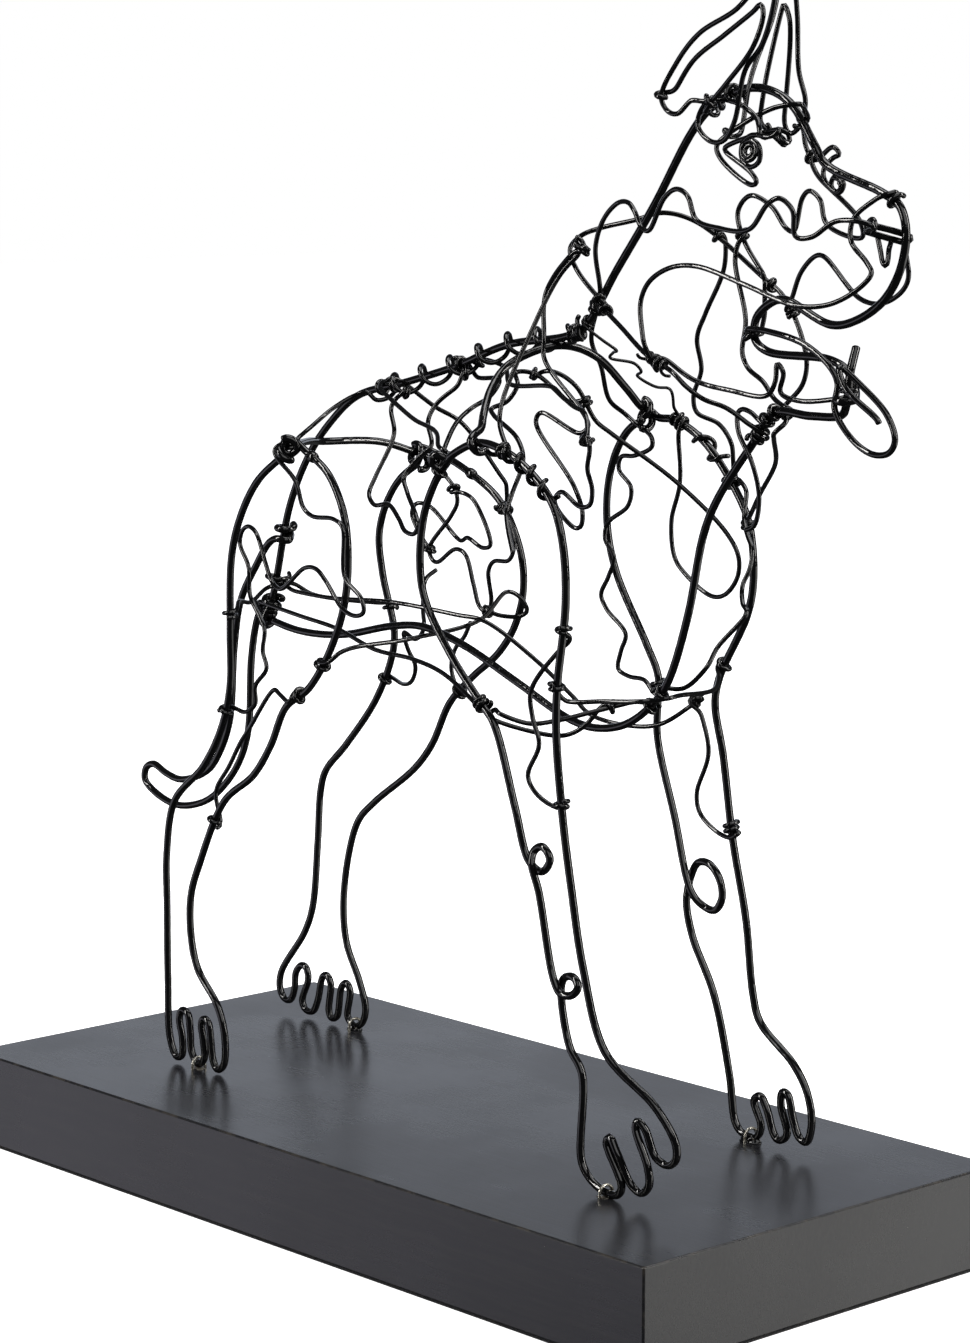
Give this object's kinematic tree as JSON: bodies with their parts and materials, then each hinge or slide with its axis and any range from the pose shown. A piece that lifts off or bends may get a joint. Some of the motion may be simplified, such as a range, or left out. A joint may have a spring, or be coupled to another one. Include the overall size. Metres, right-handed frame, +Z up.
{
  "type": "wire sculpture",
  "caption": "Openwork dog of bent black wire, standing on four looped feet stapled to a low black rectangular plinth with a felt underside.",
  "frame": {"origin": "middle of the felt underside that rests on the table", "axes": "+X towards the dog's nose, +Y towards the dog's left side, +Z up"},
  "size_m": [0.3249, 0.14, 0.3586],
  "materials": {
    "black_enamel": "glossy black enamel on steel wire, with small flecks",
    "bright_steel": "small bare steel staple, dulled",
    "plinth_paint": "satin black stain over wood, rubbed thin along the edges",
    "felt": "thin black felt"
  },
  "bodies": {
    "root": {"plinth": "plinth_paint", "felt_sheet": "felt", "right_front_staple": "bright_steel", "left_front_staple": "bright_steel", "right_hind_staple": "bright_steel", "left_hind_staple": "bright_steel", "head_and_spine_wire": "black_enamel", "chest_and_belly_wire": "black_enamel", "right_front_leg_wire": "black_enamel", "left_front_leg_wire": "black_enamel", "right_hind_leg_wire": "black_enamel", "left_hind_leg_wire": "black_enamel", "pelvis_wire": "black_enamel", "shoulder_wire": "black_enamel", "tail_wire": "black_enamel", "spine_coil_wire": "black_enamel", "right_side_line": "black_enamel", "left_side_line": "black_enamel", "rump_tie": "black_enamel", "hip_cross_tie": "black_enamel", "breast_tie": "black_enamel", "belly_sling": "black_enamel", "left_elbow_scroll": "black_enamel", "throat_scroll": "black_enamel", "throat_loop": "black_enamel", "left_chest_scroll": "black_enamel", "left_shoulder_scroll": "black_enamel", "right_foreleg_scroll": "black_enamel", "left_foreleg_scroll": "black_enamel", "right_collar_wire": "black_enamel", "right_mane_line": "black_enamel", "right_mane_scroll": "black_enamel", "right_shoulder_tie": "black_enamel", "right_shoulder_scroll": "black_enamel", "back_curl": "black_enamel", "withers_curl": "black_enamel", "right_back_tie": "black_enamel", "left_back_tie": "black_enamel", "right_flank_scroll": "black_enamel", "left_hip_scroll": "black_enamel", "left_hip_loop": "black_enamel", "right_hip_scroll": "black_enamel", "left_thigh_scroll": "black_enamel", "right_hock_scroll": "black_enamel", "right_jaw_wire": "black_enamel", "right_cheek_wire": "black_enamel", "left_lip_scroll": "black_enamel", "right_cheek_scroll": "black_enamel", "left_cheek_scroll": "black_enamel", "left_collar_wire": "black_enamel", "left_neck_scroll": "black_enamel", "left_throat_scroll": "black_enamel", "tongue_wire": "black_enamel", "right_ear_wire": "black_enamel", "right_ear_inner_wire": "black_enamel", "left_ear_wire": "black_enamel", "left_ear_inner_wire": "black_enamel", "right_brow_and_eye_wire": "black_enamel", "left_brow_and_eye_wire": "black_enamel", "nose_wire": "black_enamel"}
  },
  "joints": []
}
